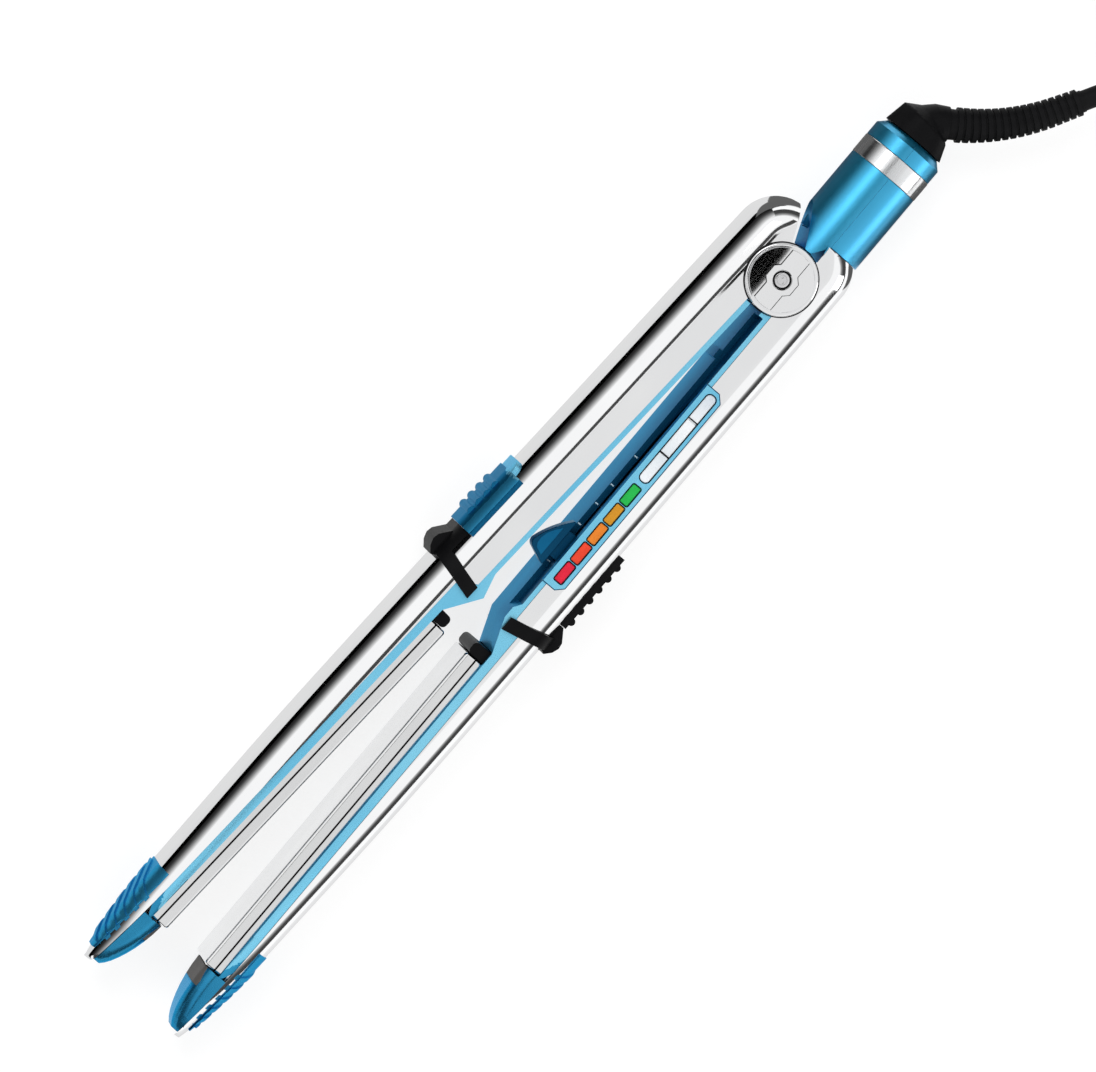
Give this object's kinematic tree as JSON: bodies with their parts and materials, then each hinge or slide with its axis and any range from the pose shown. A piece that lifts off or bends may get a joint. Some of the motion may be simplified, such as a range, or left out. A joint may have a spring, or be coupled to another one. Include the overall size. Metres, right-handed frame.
{
  "type": "hair straightener",
  "caption": "Hair straightener with two sprung polished arms, floating heater plates, a light strip with a slider, a swivel barrel and a cord that ends in a mains plug.",
  "frame": {"origin": "on the hinge axis, on the outer face of the hinge cap that the tool lies on", "axes": "+Z along the hinge axis, away from the surface it lies on; +X from the hinge to the tips along the lower arm's closed plane; +Y out of the lower arm's back"},
  "size_m": [0.6178, 0.1023, 0.0362],
  "materials": {
    "polished_steel": "polished stainless steel",
    "blue_plastic": "blue metallic lacquer",
    "black_plastic": "black satin",
    "black_rubber": "black matt",
    "pad_rubber": "dark grey matt",
    "hinge_steel": "bright steel",
    "ceramic": "white ceramic",
    "inner_plastic": "natural nylon",
    "board_green": "green lacquer",
    "light_red": "clear red",
    "light_red_orange": "clear red-orange",
    "light_orange": "clear orange",
    "light_amber": "clear amber",
    "light_green": "clear green",
    "label_silver": "pale silver"
  },
  "bodies": {
    "lower_arm": {"lower_casing": "polished_steel", "lower_liner": "blue_plastic", "lower_collar": "black_plastic", "lower_grip_pad": "black_rubber", "lower_tip": "blue_plastic", "lower_tip_pad": "pad_rubber", "lower_tip_grip": "blue_plastic", "lower_end_block": "black_plastic", "lower_heat_shield": "ceramic", "lower_plate_springs": "hinge_steel", "thermal_fuse": "inner_plastic", "light_panel": "blue_plastic", "light_hottest": "light_red", "light_hot": "light_red_orange", "light_medium": "light_orange", "light_warm": "light_amber", "light_power": "light_green", "label_window": "label_silver", "circuit_board": "board_green", "slide_switch": "inner_plastic", "hinge_cap_top": "polished_steel", "hinge_cap_bottom": "polished_steel", "hinge_screw": "hinge_steel", "hinge_pin": "hinge_steel", "hinge_washers": "inner_plastic", "opening_spring": "hinge_steel", "barrel_half_upper": "blue_plastic", "barrel_half_lower": "blue_plastic", "barrel_band": "polished_steel", "swivel_bush": "inner_plastic"},
    "upper_arm": {"upper_casing": "polished_steel", "upper_liner": "blue_plastic", "upper_collar": "black_plastic", "thumb_grip": "blue_plastic", "upper_tip": "blue_plastic", "upper_tip_pad": "pad_rubber", "upper_tip_grip": "blue_plastic", "upper_end_block": "black_plastic", "upper_heat_shield": "ceramic", "upper_plate_springs": "hinge_steel", "temperature_sensor": "inner_plastic"},
    "lower_plate_body": {"lower_plate": "polished_steel", "lower_heater": "ceramic"},
    "upper_plate_body": {"upper_plate": "polished_steel", "upper_heater": "ceramic"},
    "slider": {"slider_knob": "blue_plastic"},
    "swivel": {"swivel_boot": "black_plastic", "strain_relief": "black_rubber", "cord_lead": "black_rubber", "cord_coil": "black_rubber", "cord_tail": "black_rubber", "plug_body": "black_rubber", "plug_blades": "polished_steel"}
  },
  "joints": [
    {"name": "arm_hinge", "type": "hinge", "parent": "lower_arm", "child": "upper_arm", "pos_m": [0, 0, 0], "axis": [0, 0, 1], "range_deg": [-7, 3.2], "stiffness_Nm_per_rad": 1.2, "deforming": ["opening_spring"]},
    {"name": "slider_slide", "type": "slide", "parent": "lower_arm", "child": "slider", "axis": [1, 0, 0], "range_m": [-0.0395, 0]},
    {"name": "lower_plate_float", "type": "slide", "parent": "lower_arm", "child": "lower_plate_body", "axis": [0, 1, 0], "range_m": [0, 0.0008], "stiffness_N_per_m": 8000, "deforming": ["lower_plate_springs"]},
    {"name": "upper_plate_float", "type": "slide", "parent": "upper_arm", "child": "upper_plate_body", "axis": [-0.0558, -0.9984, 0], "range_m": [0, 0.0008], "stiffness_N_per_m": 8000, "deforming": ["upper_plate_springs"]},
    {"name": "barrel_swivel", "type": "hinge", "parent": "lower_arm", "child": "swivel", "pos_m": [-0.06, 0.0063, 0.0179], "axis": [1, 0, 0], "continuous": true}
  ]
}
